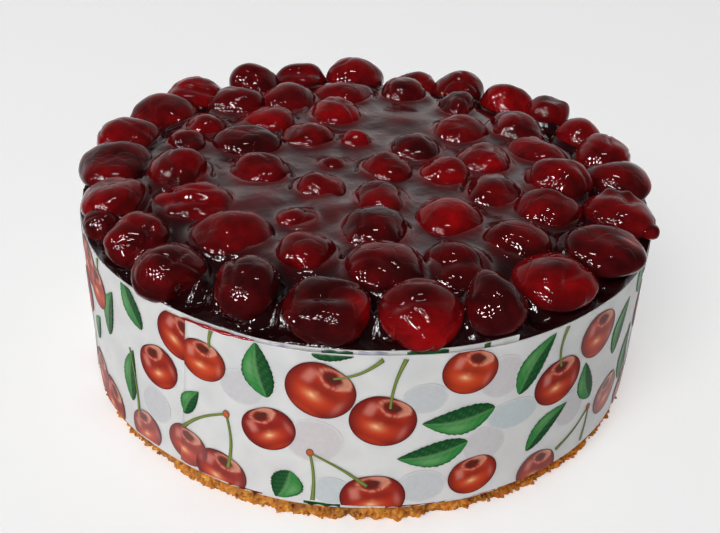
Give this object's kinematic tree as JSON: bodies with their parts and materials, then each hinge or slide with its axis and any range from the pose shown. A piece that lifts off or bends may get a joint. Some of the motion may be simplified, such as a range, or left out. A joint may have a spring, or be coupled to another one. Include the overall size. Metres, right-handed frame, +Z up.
{
  "type": "cherry cheesecake",
  "caption": "Whole round cheesecake on a crumb crust, wrapped in a clear printed film collar and topped with cherries set in dark jelly.",
  "frame": {"origin": "middle of the crust's flat foot, on the surface that the cake stands on", "axes": "+Z up along the cake's axis, -Y towards the side that the picture shows, +X to the right in the picture"},
  "size_m": [0.2192, 0.2195, 0.0907],
  "materials": {
    "crust": "dry pressed biscuit crumb, golden brown",
    "cheese": "smooth white cheese filling",
    "film": "thin glossy film with a fruit and leaf print over white",
    "jelly": "wet dark red fruit jelly",
    "cherry": "wet glazed cherry, dark red"
  },
  "bodies": {
    "root": {"crust": "crust", "cheese": "cheese", "film": "film", "jelly": "jelly", "cherry_01": "cherry", "cherry_02": "cherry", "cherry_03": "cherry", "cherry_04": "cherry", "cherry_05": "cherry", "cherry_06": "cherry", "cherry_07": "cherry", "cherry_08": "cherry", "cherry_09": "cherry", "cherry_10": "cherry", "cherry_11": "cherry", "cherry_12": "cherry", "cherry_13": "cherry", "cherry_14": "cherry", "cherry_15": "cherry", "cherry_16": "cherry", "cherry_17": "cherry", "cherry_18": "cherry", "cherry_19": "cherry", "cherry_20": "cherry", "cherry_21": "cherry", "cherry_22": "cherry", "cherry_23": "cherry", "cherry_24": "cherry", "cherry_25": "cherry", "cherry_26": "cherry", "cherry_27": "cherry", "cherry_28": "cherry", "cherry_29": "cherry", "cherry_30": "cherry", "cherry_31": "cherry", "cherry_32": "cherry", "cherry_33": "cherry", "cherry_34": "cherry", "cherry_35": "cherry", "cherry_36": "cherry", "cherry_37": "cherry", "cherry_38": "cherry", "cherry_39": "cherry", "cherry_40": "cherry", "cherry_41": "cherry", "cherry_42": "cherry", "cherry_43": "cherry", "cherry_44": "cherry", "cherry_45": "cherry", "cherry_46": "cherry", "cherry_47": "cherry", "cherry_48": "cherry", "cherry_49": "cherry", "cherry_50": "cherry", "cherry_51": "cherry", "cherry_52": "cherry", "cherry_53": "cherry", "cherry_54": "cherry", "cherry_55": "cherry", "cherry_56": "cherry"}
  },
  "joints": []
}
